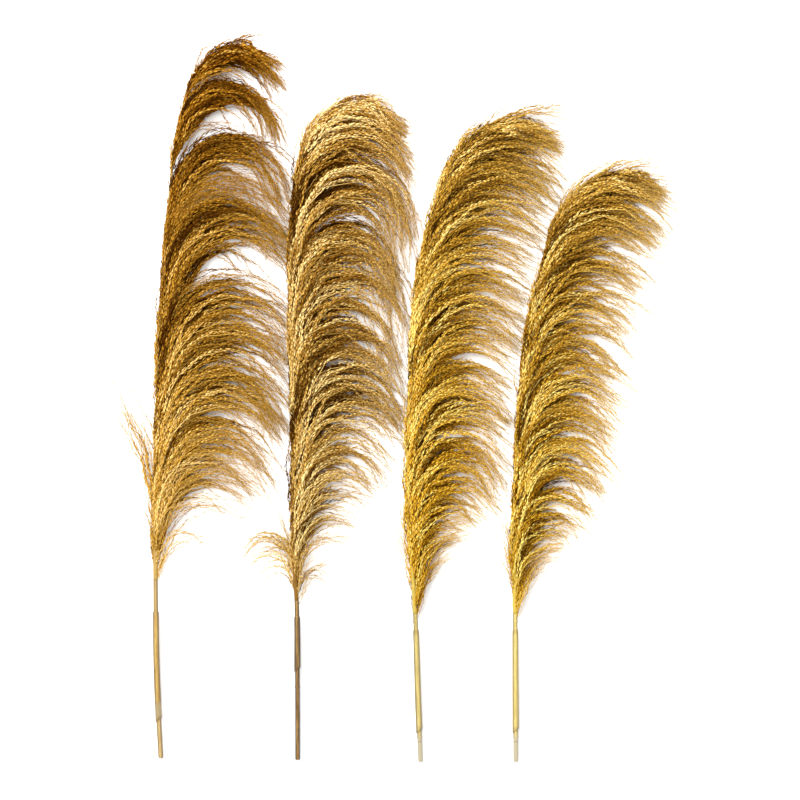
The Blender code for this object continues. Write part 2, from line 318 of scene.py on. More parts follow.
@dataclass(frozen=True)
class PaleGround:
    """Matt near-white paint under the bunch, with a barely visible mottle."""

    name: str = "pale_ground"

    def make(self) -> bpy.types.Material:
        """Mottle a near-white surface by a percent or so.

        Returns:
            The material.
        """
        material, shader = add_material(self.name, 0.9)
        tree = material.node_tree
        place = add_node(tree, "ShaderNodeTexCoord").outputs["Object"]
        cloud = add_node(tree, "ShaderNodeTexNoise", {"Vector": place, "Scale": GROUND_CLOUDS, "Detail": 2.0})
        paint = add_node(tree, "ShaderNodeValToRGB", {"Fac": cloud.outputs["Fac"]},
                         stops=((0.3, "#F9F9F8"), (0.7, "#FCFCFB")))
        tree.links.new(paint.outputs["Color"], shader.inputs["Base Color"])
        return material


@dataclass
class Surface:
    """Points, triangles and point attributes of one closed mesh or of several together."""

    points: np.ndarray
    faces: np.ndarray
    layers: dict[str, np.ndarray]
    finish: int = 0

    @staticmethod
    def joined(parts: list["Surface"]) -> tuple["Surface", np.ndarray]:
        """Stack surfaces into one, each part's triangles moved on by the points before it.

        Args:
            parts: the surfaces, which all carry the same attribute names.

        Returns:
            The joined surface and the finish number of each triangle.
        """
        starts = np.cumsum([0] + [len(part.points) for part in parts[:-1]])
        faces = np.concatenate([part.faces + start for part, start in zip(parts, starts)])
        layers = {key: np.concatenate([part.layers[key] for part in parts]) for key in parts[0].layers}
        finish = np.concatenate([np.full(len(part.faces), part.finish) for part in parts])
        return Surface(np.concatenate([part.points for part in parts]), faces, layers), finish


def piece(name: str, parts: list[Surface], finishes: list[bpy.types.Material], node: str) -> bpy.types.Object:
    """Make one object from surfaces, in place of a node of the frame.

    Args:
        name: the object's name.
        parts: the surfaces that it is made of.
        finishes: its materials, by finish number.
        node: the frame's node that it stands for.

    Returns:
        The object, which rides on the bunch's only body.
    """
    surface, finish = Surface.joined(parts)
    mesh = bpy.data.meshes.new(name)
    mesh.vertices.add(len(surface.points))
    mesh.vertices.foreach_set("co", surface.points.astype(np.float32).ravel())
    mesh.loops.add(surface.faces.size)
    mesh.loops.foreach_set("vertex_index", surface.faces.astype(np.int32).ravel())
    mesh.polygons.add(len(surface.faces))
    mesh.polygons.foreach_set("loop_start", np.arange(0, surface.faces.size, 3, dtype=np.int32))
    mesh.polygons.foreach_set("material_index", finish.astype(np.int32))
    mesh.update(calc_edges=True)
    for key, values in surface.layers.items():
        mesh.attributes.new(key, "FLOAT", "POINT").data.foreach_set("value", values.astype(np.float32))
    for material in finishes:
        mesh.materials.append(material)
    made = bpy.data.objects.new(name, mesh)
    bpy.context.scene.collection.objects.link(made)
    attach(made, "root")
    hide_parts(node)
    log.info("%s: %d triangles in place of %s", name, len(surface.faces), node)
    return made


def on_curve(curve: tuple, place: np.ndarray | float) -> np.ndarray | float:
    """Values of a curve of place and value pairs at one place or many."""
    return np.interp(place, *zip(*curve))


def unit(vectors: np.ndarray) -> np.ndarray:
    """Scale vectors, whose components are on the array's last axis, to length 1."""
    return vectors / np.maximum(np.linalg.norm(vectors, axis=-1, keepdims=True), 1e-12)


def smooth(value: np.ndarray) -> np.ndarray:
    """Ease from 0 to 1: three squares less two cubes of the value, held between 0 and 1."""
    held = np.clip(value, 0.0, 1.0)
    return held * held * (3.0 - 2.0 * held)


def faded(tone: np.ndarray, share: np.ndarray) -> np.ndarray:
    """Bring strands' tones to one tone at their tips.

    From the start of the fade to a strand's end the difference from the tips' tone shrinks to 0, by
    three squares less two cubes of the share of that part.

    Args:
        tone: tones of the strands.
        share: shares of the length.

    Returns:
        The tones there.
    """
    return tone + (TIP_TONE - tone) * smooth((share - TIP_TONE_START) / (1 - TIP_TONE_START))


def above_floor(points: np.ndarray) -> np.ndarray:
    """Ease low points so that none goes through the floor.

    Heights under the ease height h become h times e to the power of (height / h - 1), which meets the
    unchanged heights at the same slope and never reaches zero.

    Args:
        points: array whose last axis is x, y, z.

    Returns:
        The points with eased heights.
    """
    eased = FLOOR_EASE * np.exp(np.minimum(points[..., 2], FLOOR_EASE) / FLOOR_EASE - 1.0)
    return np.concatenate([points[..., :2], np.where(points[..., 2:] < FLOOR_EASE, eased[..., None],
                                                     points[..., 2:])], axis=-1)


def tubes(lines: np.ndarray, side: np.ndarray, over: np.ndarray, radius: np.ndarray, sides: int,
          tone: np.ndarray, rise: np.ndarray) -> Surface:
    """Closed tubes along many centre lines at once.

    Each ring's corners lie at the centre line plus the radius times the cosine of equal shares of a
    turn along one normal and the sine along the other. A fan from a ring's first corner closes each end.

    Args:
        lines: centre lines, by tube, ring and x, y, z.
        side: one normal at every ring.
        over: the other normal.
        radius: radius of every ring, the same on all tubes or by tube.
        sides: corners in a ring.
        tone: tone of each ring of each tube.
        rise: each tube's height up its plume.

    Returns:
        The closed surfaces.
    """
    count, rings = lines.shape[:2]
    turn = (np.arange(sides) * 2 * np.pi / sides)[None, None, :, None]
    ring = np.cos(turn) * side[:, :, None] + np.sin(turn) * over[:, :, None]
    points = lines[:, :, None] + np.broadcast_to(radius, (count, rings))[:, :, None, None] * ring
    start = (np.arange(count * rings) * sides).reshape(count, rings)
    corner = np.arange(sides)
    after = (corner + 1) % sides
    low, high = start[:, :-1, None], start[:, 1:, None]
    one = np.stack([low + corner, low + after, high + after], axis=-1)
    two = np.stack([low + corner, high + after, high + corner], axis=-1)
    fan = np.stack([np.zeros(sides - 2, int), corner[1:-1], corner[2:]], axis=-1)
    foot = start[:, 0, None, None] + fan[None, :, ::-1]
    top = start[:, -1, None, None] + fan[None]
    faces = np.concatenate([part.reshape(-1, 3) for part in (one, two, foot, top)])
    along = np.tile(np.repeat(np.linspace(0, 1, rings), sides), count)
    layers = {"tone": np.repeat(tone.ravel(), sides), "along": along, "rise": np.repeat(rise, rings * sides)}
    return Surface(above_floor(points.reshape(-1, 3)), faces, layers)


def ring_faces(low: np.ndarray, high: np.ndarray, sides: int) -> np.ndarray:
    """Two triangles for each corner between rings.

    Args:
        low: first point number of each lower ring, as a column.
        high: first point number of the ring over it.
        sides: corners in a ring.

    Returns:
        One row of three point numbers for each triangle.
    """
    corner = np.arange(sides)[None]
    after = (corner + 1) % sides
    one = np.stack([low + corner, high + after, low + after], axis=-1)
    two = np.stack([low + corner, high + corner, high + after], axis=-1)
    return np.concatenate([one.reshape(-1, 3), two.reshape(-1, 3)])


@dataclass(frozen=True)
class Wisp:
    """A few loose strands of their own: where they root, how far they reach and how they bend."""

    place: float
    reach: float
    leaving: float
    droop: float
    count: int = 3


@dataclass(frozen=True)
class Left:
    """A thin branch that falls to the other side: its roots, and its strands' reach and droop there."""

    places: tuple[float, float]
    reach: tuple[float, float]
    droop: tuple[float, float]
    count: int


@dataclass(frozen=True)
class PlumeForm:
    """One plume's driving curves, which the frame's solids follow too, and what is its own in looks.

    The frame's rule takes foot, spine, collar (the panicle's base along +Y), reach and droop (values at
    PLACES), tufts (first and last root of each main branch), sheath (lower edge, mouth and its point),
    nodes and left. The looks take the finishes and, as curves along the panicle, shade (added to the
    tone), density (of strands), margin (by which a branch's roots go past its tuft) and gather (how far
    a lock draws together, from the share gather_from of a strand on). worn and scars (place, width and
    depth) mark the stem, by length along it. fray is the spread of the strands' lengths, bare the lowest
    place of the strands that hug the axis, and lock_share how far each lock has a middle of its own.
    """

    number: int
    foot: tuple[float, float]
    spine: tuple
    collar: float
    reach: tuple
    droop: tuple
    tufts: tuple
    sheath: tuple[float, float, float]
    nodes: tuple
    slot: Slot
    plumage: Plumage
    culm: DryCulm
    leaf: DryCulm
    left: Left | None = None
    wisps: tuple = ()
    worn: tuple = ((0.0, 0.0), (1.0, 0.0))
    scars: tuple = ()
    shade: tuple = ((0.0, 0.0), (1.0, 0.0))
    density: tuple = ((0.0, 1.0), (1.0, 1.0))
    margin: tuple = ((0.0, 0.007), (1.0, 0.007))
    fray: float = 0.12
    bare: float = 0.0
    gather: tuple = ((0.0, 0.45), (1.0, 0.45))
    gather_from: float = 0.22
    lock_share: float = 0.65


class Axis:
    """A plume's axis: a smooth curve in plan that rises from its foot to the middle of the head."""

    def __init__(self, form: PlumeForm) -> None:
        """Run a cubic curve through the spine's points, with slopes from their differences.

        Args:
            form: the plume's driving curves.
        """
        knots = np.array(form.spine, float)
        along = np.r_[0, np.cumsum(np.linalg.norm(np.diff(knots, axis=0), axis=1))]
        slope = np.gradient(knots, along, axis=0)
        at = np.linspace(0, along[-1], AXIS_POINTS)
        left = np.clip(np.searchsorted(along, at, side="right") - 1, 0, len(along) - 2)
        span = (along[left + 1] - along[left])[:, None]
        t = (at[:, None] - along[left][:, None]) / span
        self.line = ((2 * t**3 - 3 * t**2 + 1) * knots[left] + (t**3 - 2 * t**2 + t) * span * slope[left]
                     + (3 * t**2 - 2 * t**3) * knots[left + 1] + (t**3 - t**2) * span * slope[left + 1])
        self.length = np.r_[0, np.cumsum(np.linalg.norm(np.diff(self.line, axis=0), axis=1))]
        self.start = float(np.interp(form.collar, self.line[:, 1], self.length))
        self.heading = np.unwrap(np.arctan2(*np.gradient(self.line, self.length, axis=0).T))
        self.foot = np.array(form.foot)

    def at(self, place: np.ndarray) -> np.ndarray:
        """Length along the axis at places from 0, the panicle's base, to 1, its tip."""
        return self.start + np.asarray(place) * (self.length[-1] - self.start)

    def bearing(self, length: np.ndarray) -> np.ndarray:
        """The axis' heading at lengths along it, in radians clockwise from +Y."""
        return np.interp(length, self.length, self.heading)

    def height(self, length: np.ndarray) -> np.ndarray:
        """Height of the axis: a straight rise to the head's middle, less a straight sink to the tip.

        Args:
            length: lengths along the axis.

        Returns:
            The heights.
        """
        rise = np.interp(length, (0, self.start * AXIS_RISE_LENGTH), (0, 1))
        sink = np.interp(length, (self.at(0.5), self.at(1.0)), (0, 1))
        return CULM_RADIUS + (HEAD_HEIGHT - CULM_RADIUS) * rise - (HEAD_HEIGHT - TIP_HEIGHT) * sink

    def point(self, length: np.ndarray) -> np.ndarray:
        """Axis points in the bunch's own frame; past the tip the axis runs straight on.

        Args:
            length: lengths along the axis.

        Returns:
            One x, y, z row for each.
        """
        length = np.asarray(length, float)
        plan = np.stack([np.interp(length, self.length, self.line[:, side]) for side in (0, 1)], axis=-1)
        beyond = np.maximum(length - self.length[-1], 0)[..., None]
        plan = plan + beyond * np.array([np.sin(self.heading[-1]), np.cos(self.heading[-1])])
        return np.concatenate([plan + self.foot, self.height(length)[..., None]], axis=-1)

    def radius(self, length: np.ndarray) -> np.ndarray:
        """Radius of the axis: it swells above the panicle's base and tapers to the tip.

        The swell is a straight rise, and the taper is a power of the place.

        Args:
            length: lengths along the axis.

        Returns:
            The radii.
        """
        beyond = length - self.start
        swell = CULM_RADIUS + (AXIS_RADIUS - CULM_RADIUS) * np.clip(beyond / AXIS_SWELL_LENGTH, 0, 1)
        place = np.clip(beyond / (self.length[-1] - self.start), 0, 1)
        return swell + (AXIS_TIP_RADIUS - AXIS_RADIUS) * place**AXIS_TAPER_POWER

    def rings(self, lengths: np.ndarray, radii: np.ndarray, turn: np.ndarray) -> np.ndarray:
        """Points round the axis.

        A point lies at the axis point plus the radius times the cosine of its turn across the axis and
        the sine of it upwards.

        Args:
            lengths: length along the axis of every point, by ring and corner.
            radii: the points' distances from it.
            turn: each corner's turn, in radians.

        Returns:
            An array of ring, corner and x, y, z.
        """
        heading = self.bearing(lengths)
        across = np.stack([np.cos(heading), -np.sin(heading), np.zeros_like(heading)], axis=-1)
        ring = np.cos(turn)[None, :, None] * across + np.sin(turn)[None, :, None] * np.array([0, 0, 1.0])
        return self.point(lengths) + radii[..., None] * ring


@dataclass
class Strands:
    """Rows of numbers that describe strands, one row for each strand.

    place is where a strand roots, reach its length, leaving its first angle from the axis and droop its
    last heading. lift and rest are its heights at the bend and at the tip, aside is its offset within
    the clump and tone its place on the colour ramps. centre is the middle of its lock, run the length
    that lies beside the axis and girth its thickness. gather is the share by which the strands of a lock
    draw together, from the share gather_from of their length on.
    """

    axis: Axis
    place: np.ndarray
    reach: np.ndarray
    leaving: np.ndarray
    droop: np.ndarray
    lift: np.ndarray
    rest: np.ndarray
    aside: np.ndarray
    tone: np.ndarray
    random: np.random.Generator
    centre: np.ndarray | None = None
    run: np.ndarray | float = 0.0
    girth: np.ndarray | float = 1.0
    gather: float = 0.0
    gather_from: float = 0.0

    def paths(self) -> np.ndarray:
        """Centre lines of the strands.

        In plan a strand runs up beside the axis first, turned from it by its leaving angle. From half
        of that run on its heading eases to the droop, by three squares less two cubes of the share of
        the rest, and equal steps are added up along it. A run moves the root down the axis and makes the
        strand longer, so that its bend stays in place. The height eases from the root to the bend's and
        then to the tip's. Roots lie in a ring round the axis, and under it near the panicle's base. Two
        slow sine waves, the second half as wide, grow to a third of the length and a little on, and push
        the line sideways, and a third one pushes it up and down. So does an offset within the clump, a
        quarter at the root and full just past the middle, by a sine. The strands of one lock draw
        together towards its middle, with an ease of the same form as the heading's.

        Returns:
            An array of strand, step and x, y, z.
        """
        count = len(self.place)
        run = np.broadcast_to(self.run, (count,))
        root = self.axis.at(self.place) - RUN_DROP * run
        length = self.reach + RUN_GAIN * run
        last = np.radians(self.droop)
        share = (np.arange(PATH_STEPS) + 0.5)[None] / PATH_STEPS
        late = RUN_BEND * (run / length)[:, None]
        beside = self.axis.bearing(root[:, None] + np.minimum(share * length[:, None], run[:, None]))
        first = beside + np.radians(self.leaving)[:, None]
        angle = first + (last[:, None] - first) * smooth((share - late) / (1 - late))
        step = (length / PATH_STEPS)[:, None, None] * np.stack([np.sin(angle), np.cos(angle)], axis=-1)
        plan = np.concatenate([np.zeros((count, 1, 2)), np.cumsum(step, axis=1)], axis=1)
        u = np.linspace(0, 1, PATH_STEPS + 1)[None]
        turn = np.concatenate([angle[:, :1], angle], axis=1)
        across = np.stack([np.cos(turn), -np.sin(turn)], axis=-1)
        # A fourth row of phases is drawn and left over, which keeps all later draws as they are
        phase = self.random.uniform(0, 2 * np.pi, (4, count, 1))
        wave = 2 * np.pi * length[:, None] * u / self.random.uniform(*WANDER_LENGTH, (count, 1))
        growth = WANDER * np.minimum(1, 3 * u) * (1 + WANDER_GROWTH * u)
        side = growth * (np.sin(wave + phase[0]) + 0.5 * np.sin(SECOND_WAVE_PACE * wave + phase[1])) / 1.5
        bulge = np.sin(np.pi * np.minimum(1, u * ASIDE_SPAN))
        side = side + self.aside[:, None] * (ASIDE_AT_ROOT + (1 - ASIDE_AT_ROOT) * bulge)
        around = self.random.uniform(0, 2 * np.pi, count)
        below = -np.pi * self.random.uniform(*BARE_TURNS, count)
        around = np.where(self.place < BARE_PLACE, below, around)
        ring = ROOT_RING * self.axis.radius(root) * np.sqrt(self.random.uniform(*ROOT_FILL, count))
        base = self.axis.point(root)
        if self.centre is not None:
            middle = self.axis.point(self.axis.at(self.centre) - RUN_DROP * run)
            pull = self.gather * (middle - base)[:, None, :2]
            plan = plan + pull * smooth((u - self.gather_from) / (GATHER_END - self.gather_from))[..., None]
        flat = across[:, 0] * (ring * np.cos(around))[:, None]
        plan = plan + (base[:, :2] + flat)[:, None] + across * side[..., None]
        foot = (base[:, 2] + ring * np.sin(around))[:, None]
        height = foot + (self.lift[:, None] - foot) * smooth(u / RISE_END)
        height = height + (self.rest - self.lift)[:, None] * smooth((u - SINK_START) / (1 - SINK_START))
        height = height + HEIGHT_WAVE_SHARE * growth * np.sin(wave * HEIGHT_WAVE_PACE + phase[2])
        return np.concatenate([plan, height[..., None]], axis=-1)

    def under(self) -> Surface:
        """Flat soft wads of short hairs under the strands, dark with painted shade, which fill the gaps
        between them.

        A wad follows the first part of every second strand, low down and in one dark tone. Its ring's
        corners lie at the centre line plus a radius times the cosine of equal shares of a turn sideways
        and a flatter sine upwards. The radius follows the sine of a power of the share of the wad, so
        that both ends are thin, and wads near the panicle's base are thin like the strands there.

        Returns:
            The closed wads.
        """
        chosen = slice(None, None, UNDER_EVERY)
        number = len(self.place[chosen])
        low = Strands(self.axis, self.place[chosen], self.reach[chosen], self.leaving[chosen],
                      self.droop[chosen], np.full(number, UNDER_LIFT), np.full(number, UNDER_REST),
                      np.zeros(number), np.zeros(number), self.random,
                      centre=None if self.centre is None else self.centre[chosen],
                      run=np.broadcast_to(self.run, self.place.shape)[chosen],
                      gather=self.gather, gather_from=self.gather_from)
        paths = low.paths()
        lines = unit(np.gradient(paths, axis=1))
        side = unit(np.cross(lines, (0.0, 0.0, 1.0)))
        over = UNDER_FLATNESS * np.cross(side, lines)
        take = np.round(np.linspace(UNDER_FIRST_STEP, UNDER_SHARE * PATH_STEPS, CORE_RINGS)).astype(int)
        share = (take - take[0]) / (take[-1] - take[0])
        girth = on_curve(GIRTHS, low.place)[:, None]
        radius = girth * UNDER_RADIUS * (UNDER_END + (1 - UNDER_END) * np.sin(np.pi * share ** UNDER_POWER))
        # The wads' one dark tone is painted shade between the strands
        return tubes(paths[:, take], side[:, take], over[:, take], radius, UNDER_SIDES,
                     np.full((number, CORE_RINGS), UNDER_SHADE_TONE), np.clip(low.place, 0, 1))

    def surfaces(self) -> list[Surface]:
        """The strands' thin cores and the spikelets on them.

        Returns:
            Two surfaces of closed forms.
        """
        paths = self.paths()
        lines = unit(np.gradient(paths, axis=1))
        side = unit(np.cross(lines, (0.0, 0.0, 1.0)))
        over = np.cross(side, lines)
        rise = np.clip(self.place, 0, 1)
        return [self.cores(paths, side, over, rise), self.spikelets(paths, lines, side, over, rise)]

    def cores(self, paths: np.ndarray, side: np.ndarray, over: np.ndarray, rise: np.ndarray) -> Surface:
        """Three-sided tubes with flat ends, a little darker than the husks.

        The radius falls evenly to a third.

        Args:
            paths: centre lines.
            side: level normals of the lines.
            over: the other normals.
            rise: each strand's height up its plume.

        Returns:
            The closed tubes.
        """
        take = np.round(np.linspace(0, PATH_STEPS, CORE_RINGS)).astype(int)
        girth = np.broadcast_to(self.girth, self.place.shape)[:, None]
        radius = girth * CORE_RADIUS * (1.0 - CORE_TAPER * take / PATH_STEPS)
        tone = faded(self.tone[:, None], take / PATH_STEPS) + CORE_TONE
        return tubes(paths[:, take], side[:, take], over[:, take], radius, CORE_SIDES, tone, rise)

    def spikelets(self, paths: np.ndarray, lines: np.ndarray, side: np.ndarray, over: np.ndarray,
                  rise: np.ndarray) -> Surface:
        """Slim pointed husks in a spiral round every strand, which make it look like a thin rope.

        A husk is a closed four-faced form: its foot and point lie on its own axis, which leaves the
        strand by a small angle, and its two shoulders lie to each side part of the way along, raised by
        its depth. Towards the strand's tip husks get shorter by the square of the share of its length
        and slimmer by the cube, and they are shorter at its root and on thin strands. Their row runs
        along a fast sine wave, and each husk leans by the wave's slope.

        Args:
            paths: centre lines.
            lines: unit vectors along them.
            side: level normals of the lines.
            over: the other normals.
            rise: each strand's height up its plume.

        Returns:
            The closed husks.
        """
        rng = self.random
        length = self.reach + RUN_GAIN * self.run
        count = np.maximum(3, (self.girth * length / SPIKELET_PITCH).astype(int))
        owner = np.repeat(np.arange(len(count)), count)
        order = np.arange(len(owner)) - np.repeat(np.cumsum(count) - count, count)
        u = (order + rng.uniform(*HUSK_JITTER, len(owner))) / count[owner]
        at = u * PATH_STEPS
        low = np.minimum(at.astype(int), PATH_STEPS - 1)
        part = (at - low)[:, None]

        def between(rows: np.ndarray) -> np.ndarray:
            """Straight interpolation of a path array at the husks' places."""
            return rows[owner, low] * (1 - part) + rows[owner, low + 1] * part

        line, flat, up = unit(between(lines)), unit(between(side)), unit(between(over))
        pace = 2 * np.pi / rng.uniform(*CRINKLE_LENGTH, len(count))[owner]
        bend = (pace * length[owner] * u + rng.uniform(0, ANY_TURN, len(count))[owner])[:, None]
        crinkle = CRINKLE * np.sin(bend) * flat
        line = line + CRINKLE * pace[:, None] * np.cos(bend) * flat
        around = order * SPIRAL + rng.uniform(0, ANY_TURN, len(count))[owner]
        around = around + rng.normal(0, SPIRAL_SPREAD, len(owner))
        out = np.cos(around)[:, None] * flat + np.sin(around)[:, None] * up
        splay = np.radians(rng.normal(*SPIKELET_SPLAY, len(owner)))[:, None]
        aim = unit(np.cos(splay) * line + np.sin(splay) * out)
        wide = unit(np.cross(aim, -out))
        raised = np.cross(aim, wide)
        girth = np.broadcast_to(self.girth, self.place.shape)[owner]
        slim = (girth * (1.0 - SLIMMER_TO_TIP * u**3))[:, None]
        size = (1.0 - SHORTER_TO_TIP * u**2) * rng.uniform(*SPIKELET_SIZES, len(owner))
        size = (size * np.minimum(1, ROOT_SIZE + ROOT_GROWTH * u))[:, None] * slim**0.5
        foot = between(paths) + crinkle + BUNDLE_RADIUS * slim * out
        shoulder = foot + SHOULDER_SHARE * SPIKELET_LENGTH * size * aim
        shoulder = shoulder + SPIKELET_DEPTH * size * slim * raised
        half = 0.5 * SPIKELET_WIDTH * size * slim * wide
        point = foot + SPIKELET_LENGTH * size * aim
        points = np.stack([foot, point, shoulder + half, shoulder - half], axis=1)
        start = np.arange(len(owner))[:, None, None] * 4
        faces = (start + np.array([(0, 1, 3), (1, 0, 2), (0, 3, 2), (1, 2, 3)])[None]).reshape(-1, 3)
        tone = faded(self.tone[owner], u) + rng.normal(0, HUSK_TONE_SPREAD, len(owner))
        # Painted shade at each husk's foot and a painted highlight at its point
        tone = tone[:, None] + np.array(HUSK_SHADE_AND_HIGHLIGHT)
        layers = {"tone": tone.ravel(), "along": np.repeat(u, 4), "rise": np.repeat(rise[owner], 4)}
        return Surface(above_floor(points.reshape(-1, 3)), faces, layers)


@dataclass
class Grower:
    """Draws the numbers of a plume's strands, with the plume's own seeded chance."""

    form: PlumeForm
    axis: Axis
    random: np.random.Generator

    # The strands of a main branch: how close they stand, and how far each departs from the branch's rule
    strand_pitch: float = 0.0018
    lock_spacing: float = 0.030
    root_spread: float = 0.0012
    short_share: float = 0.15
    short_reach: tuple = (0.6, 0.9)
    full_reach: float = 1.06
    side_shares: tuple = (0.2, 1.0)
    leaving_spread: float = 4.0
    droop_spread: float = 7.0
    lock_droop_spread: float = 4.0
    fan_angles: tuple = ((0.0, 9.0), (0.35, 8.0), (0.7, 2.0))
    lifts: tuple = (0.007, 0.036)
    lift_spread: float = 0.002
    rests: tuple = (0.003, 0.022)
    rest_shares: tuple = (0.3, 1.0)
    aside_spread: float = 0.0034
    falling_tone: float = 0.20
    # Painted shade: the tone rises with a strand's layer, so that lower strands are darker
    layer_shade_tone: float = 0.46
    falling_tone_spread: float = 0.34
    dark_share: tuple = ((0.0, 0.10), (0.06, 0.40), (0.7, 0.40), (0.95, 0.26))
    dark_drop: float = 0.50
    edge_strands: int = 3
    edge_tone: float = 0.42
    # The run beside the axis: its share of the length, its limit by the place and its end up the plume
    run_share: float = 0.50
    run_spread: tuple = (0.4, 1.3)
    run_limit: float = 0.92
    run_fade: tuple = ((0.68, 1.0), (0.88, 0.15))

    # The strands that hug the axis, where two values in a pair, or two pairs of a middle and a spread,
    # are for the strands to its left and then for the others
    hug_place_end: float = 0.96
    hug_place_spread: float = 0.004
    hug_ahead: float = 0.08
    hug_leaving: tuple = ((-0.8, 1.0), (4, 3))
    hug_turn: tuple = ((2, 3), (24, 14))
    hug_lifts: tuple = (-0.006, 0.017)
    hug_rests: tuple = (-0.012, 0.012)
    hug_aside_spread: float = 0.002
    hug_reach: tuple = (0.07, 0.16)
    hug_reach_fade: tuple = ((0, 1.0), (0.7, 1.0), (1, 0.6))
    hug_left_share: float = 0.45
    hug_tone: float = 0.50
    hug_tone_spread: float = 0.30
    hug_dark_shares: tuple = (0.12, 0.5)
    hug_dark_drop: float = 0.62
    hug_girth: float = 0.9
    crown_top: float = 0.034

    # The loose strands, and those of the thin branch that falls to the other side
    wisp_place_spread: float = 0.004
    wisp_reaches: tuple = (0.75, 1.05)
    wisp_leaving_spread: float = 3.0
    wisp_droop_spread: float = 9.0
    wisp_lifts: tuple = (-0.008, 0.012)
    wisp_rests: tuple = (0.004, 0.020)
    wisp_aside_spread: float = 0.002
    wisp_tone: float = 0.6
    wisp_tone_spread: float = 0.15
    wisp_girth: float = 0.65
    left_reaches: tuple = (0.72, 1.05)
    left_leaving: tuple = (-8, 3)
    left_lifts: tuple = (0.010, 0.034)
    left_rests: tuple = (0.003, 0.016)
    left_aside_spread: float = 0.004
    left_tone_spread: float = 0.2
    left_girth: float = 0.8

    def falling(self, first: float, last: float) -> Strands:
        """Strands of one main branch, which all fall to the plume's side.

        Roots stand at an even pitch from the first place to the last, past both by the margin. A
        strand's layer, from 0 at the bottom to 1 at the top, sets its heights and part of its tone, as
        painted
        shade: lower strands are darker. The outermost strands of a branch are never darker than a set tone.

        Args:
            first: place of the branch's first root.
            last: place of its last root.

        Returns:
            The strands.
        """
        rng = self.random
        form = self.form
        span = self.axis.length[-1] - self.axis.start
        middle = (first + last) / 2
        margin = on_curve(form.margin, middle) / span
        dense = on_curve(form.density, middle)
        total = max(3, round(dense * ((last - first) + 2 * margin) * span / self.strand_pitch))
        place = np.linspace(first - margin, last + margin, total)
        place = place + rng.normal(0, self.root_spread / span, total)
        locks = np.linspace(first, last, max(2, round((last - first) * span / self.lock_spacing) + 1))
        nearest = np.abs(place[:, None] - locks[None]).argmin(axis=1)
        held = np.clip(place, 0, 1)
        layer = rng.uniform(0, 1, total)
        order = np.arange(total)
        edge_tone = np.where(np.minimum(order, total - 1 - order) < self.edge_strands, self.edge_tone, -1.0)
        side = np.clip((place - middle) / TUFT_HALF, -1, 1) * rng.uniform(*self.side_shares, total)
        short = np.where(rng.uniform(size=total) < self.short_share, rng.uniform(*self.short_reach, total),
                         self.full_reach - form.fray * rng.uniform(0, 1, total))
        reach = np.interp(held, PLACES, form.reach) * (1 + TUFT_REACH * side) * short
        run = self.run_share * reach * rng.uniform(*self.run_spread, total)
        run = np.minimum(run, self.run_limit * held * span / RUN_DROP) * on_curve(self.run_fade, held)
        leaving = on_curve(START_ANGLES, held) + rng.normal(0, self.leaving_spread, total)
        leaving = leaving + on_curve(self.fan_angles, held)
        droop = np.interp(held, PLACES, form.droop) + TUFT_DROOP * side
        droop = droop + rng.normal(0, self.droop_spread, total)
        droop = droop + rng.normal(0, self.lock_droop_spread, len(locks))[nearest]
        lift = self.lifts[0] + self.lifts[1] * layer + rng.normal(0, self.lift_spread, total)
        rest = self.rests[0] + self.rests[1] * layer * rng.uniform(*self.rest_shares, total)
        aside = rng.normal(0, self.aside_spread, total)
        # Painted shade: lower layers get a darker tone
        tone = self.falling_tone + on_curve(form.shade, held) + self.layer_shade_tone * layer
        tone = tone + self.falling_tone_spread * rng.uniform(-1, 1, total)
        tone = tone - self.dark_drop * (rng.uniform(size=total) < on_curve(self.dark_share, held))
        return Strands(self.axis, place, reach, leaving, droop, lift, rest, aside, tone.clip(edge_tone), rng,
                       centre=locks[nearest] + (1 - form.lock_share) * (middle - locks[nearest]),
                       run=run, girth=on_curve(GIRTHS, held), gather=float(on_curve(form.gather, middle)),
                       gather_from=form.gather_from)

    def hugging(self, count: int) -> Strands:
        """Short strands that run up along the axis on all sides of it and cover it.

        Args:
            count: how many.

        Returns:
            The strands.
        """
        rng = self.random
        place = np.linspace(self.form.bare, self.hug_place_end, count)
        place = place + rng.normal(0, self.hug_place_spread, count)
        fade = on_curve(self.hug_reach_fade, place)
        reach = rng.uniform(*self.hug_reach, count) * fade
        axis_turn = np.degrees(self.axis.bearing(self.axis.at(place + self.hug_ahead)))
        left = rng.uniform(size=count) < self.hug_left_share
        leaving = np.where(left, *(rng.normal(*pair, count) for pair in self.hug_leaving))
        droop = axis_turn + np.where(left, *(rng.normal(*pair, count) for pair in self.hug_turn))
        middle = self.axis.height(self.axis.at(place))
        lift = middle + rng.uniform(*self.hug_lifts, count)
        rest = middle + rng.uniform(*self.hug_rests, count)
        aside = rng.normal(0, self.hug_aside_spread, count)
        tone = self.hug_tone + on_curve(self.form.shade, place)
        tone = tone + self.hug_tone_spread * rng.uniform(-1, 1, count)
        tone = tone - self.hug_dark_drop * (rng.uniform(size=count) < np.where(left, *self.hug_dark_shares))
        return Strands(self.axis, place, reach, leaving, droop, lift, rest, aside, tone, rng,
                       girth=self.hug_girth * on_curve(GIRTHS, place))

    def crown(self, first: float) -> Strands:
        """Strands of the plume's very tip, above the last main branch, which stay below a set height.

        Args:
            first: place of the lowest root.

        Returns:
            The strands.
        """
        crown = self.falling(first, 1.0)
        crown.lift = np.minimum(crown.lift, self.crown_top)
        return crown

